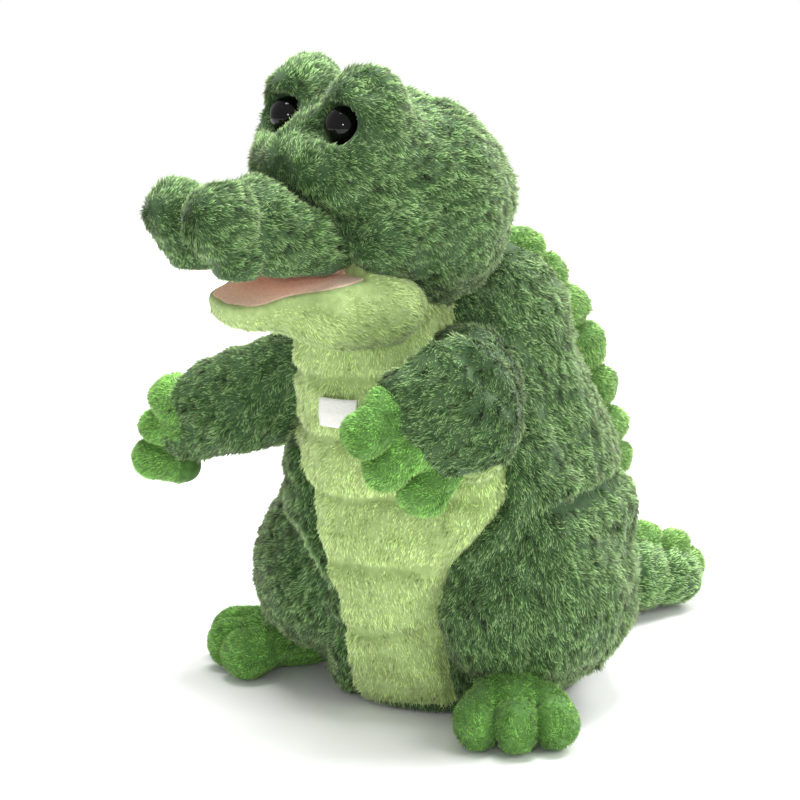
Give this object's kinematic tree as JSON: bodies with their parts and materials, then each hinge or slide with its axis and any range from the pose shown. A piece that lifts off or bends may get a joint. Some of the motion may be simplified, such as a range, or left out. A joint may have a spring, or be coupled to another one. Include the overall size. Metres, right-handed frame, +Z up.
{
  "type": "moving mouth puppet",
  "caption": "Seated plush crocodile glove puppet: open hem for the hand, finger and thumb pockets that work the mouth, padded crest, short arms, splayed feet and a tail.",
  "frame": {"origin": "under the middle of the animal's box, on the plane that the hem rests on", "axes": "+Z up, -Y the way the animal faces, +X the animal's left"},
  "size_m": [0.2054, 0.277, 0.248],
  "materials": {
    "dark_plush": "mid-green long pile plush",
    "pale_plush": "pale yellow-green pile plush",
    "lime_plush": "bright green short pile plush",
    "mouth_felt": "pink felt",
    "lining": "woven cotton lining",
    "stuffing": "polyester fibre",
    "board": "flexible plastic sheet",
    "eye_gloss": "black glossy dome with amber rim",
    "washer": "white moulded locking washer",
    "label": "woven white ribbon, blank"
  },
  "bodies": {
    "root": {"body_sleeve": "dark_plush", "belly_panel": "pale_plush", "body_wadding": "stuffing", "glove_lining": "lining", "hem_band": "dark_plush", "neck_collar": "dark_plush", "nape_pad": "dark_plush", "thigh_left": "dark_plush", "thigh_right": "dark_plush", "back_crest": "lime_plush", "chest_tag": "label", "care_label": "label"},
    "neck": {"neck_gusset": "dark_plush"},
    "head": {"head_shell": "dark_plush", "head_stuffing": "stuffing", "snout_shell": "dark_plush", "snout_stuffing": "stuffing", "brow_left": "dark_plush", "brow_right": "dark_plush", "nostril_left": "dark_plush", "nostril_right": "dark_plush", "eye_left": "eye_gloss", "eye_right": "eye_gloss", "eye_washer_left": "washer", "eye_washer_right": "washer", "upper_palate": "mouth_felt", "upper_mouth_board": "board", "finger_pocket": "lining"},
    "jaw": {"jaw_shell": "pale_plush", "jaw_stuffing": "stuffing", "lower_palate": "mouth_felt", "lower_mouth_board": "board", "thumb_pocket": "lining"},
    "arm_left": {"arm_sleeve_left": "dark_plush", "arm_panel_left": "pale_plush", "arm_stuffing_left": "stuffing", "paw_left": "lime_plush"},
    "arm_right": {"arm_sleeve_right": "dark_plush", "arm_panel_right": "pale_plush", "arm_stuffing_right": "stuffing", "paw_right": "lime_plush"},
    "foot_left": {"foot_left": "lime_plush"},
    "foot_right": {"foot_right": "lime_plush"},
    "tail": {"tail_sleeve": "dark_plush", "tail_stuffing": "stuffing", "tail_crest": "lime_plush"}
  },
  "joints": [
    {"name": "head_turn", "type": "hinge", "parent": "root", "child": "neck", "pos_m": [0.0125, -0.0061, 0.146], "axis": [0, 0, 1], "range_deg": [-15, 15], "stiffness_Nm_per_rad": 1},
    {"name": "head_nod", "type": "hinge", "parent": "neck", "child": "head", "pos_m": [0.0125, -0.0061, 0.146], "axis": [0.9763, -0.2164, 0], "range_deg": [-8, 10], "stiffness_Nm_per_rad": 4},
    {"name": "jaw_open", "type": "hinge", "parent": "head", "child": "jaw", "pos_m": [-0.00179, -0.07054, 0.173], "axis": [0.9763, -0.2164, 0], "range_deg": [-13, 15], "stiffness_Nm_per_rad": 0.3},
    {"name": "arm_left_swing", "type": "hinge", "parent": "root", "child": "arm_left", "pos_m": [0.0725, -0.0561, 0.13], "axis": [-0.9063, 0.4226, 0], "range_deg": [-25, 15], "stiffness_Nm_per_rad": 0.2},
    {"name": "arm_right_swing", "type": "hinge", "parent": "root", "child": "arm_right", "pos_m": [-0.0475, -0.0561, 0.13], "axis": [-0.2924, 0.9563, 0], "range_deg": [-25, 30], "stiffness_Nm_per_rad": 0.2},
    {"name": "foot_left_lift", "type": "hinge", "parent": "root", "child": "foot_left", "pos_m": [0.0685, -0.0401, 0.0094], "axis": [-0.766, -0.6428, 0], "range_deg": [0, 25], "stiffness_Nm_per_rad": 0.05},
    {"name": "foot_right_lift", "type": "hinge", "parent": "root", "child": "foot_right", "pos_m": [-0.0435, -0.0401, 0.0094], "axis": [-0.766, 0.6428, 0], "range_deg": [0, 25], "stiffness_Nm_per_rad": 0.05},
    {"name": "tail_sway", "type": "hinge", "parent": "root", "child": "tail", "pos_m": [0.0165, 0.0779, 0.021], "axis": [0, 0, 1], "range_deg": [-18, 18], "stiffness_Nm_per_rad": 0.2}
  ]
}
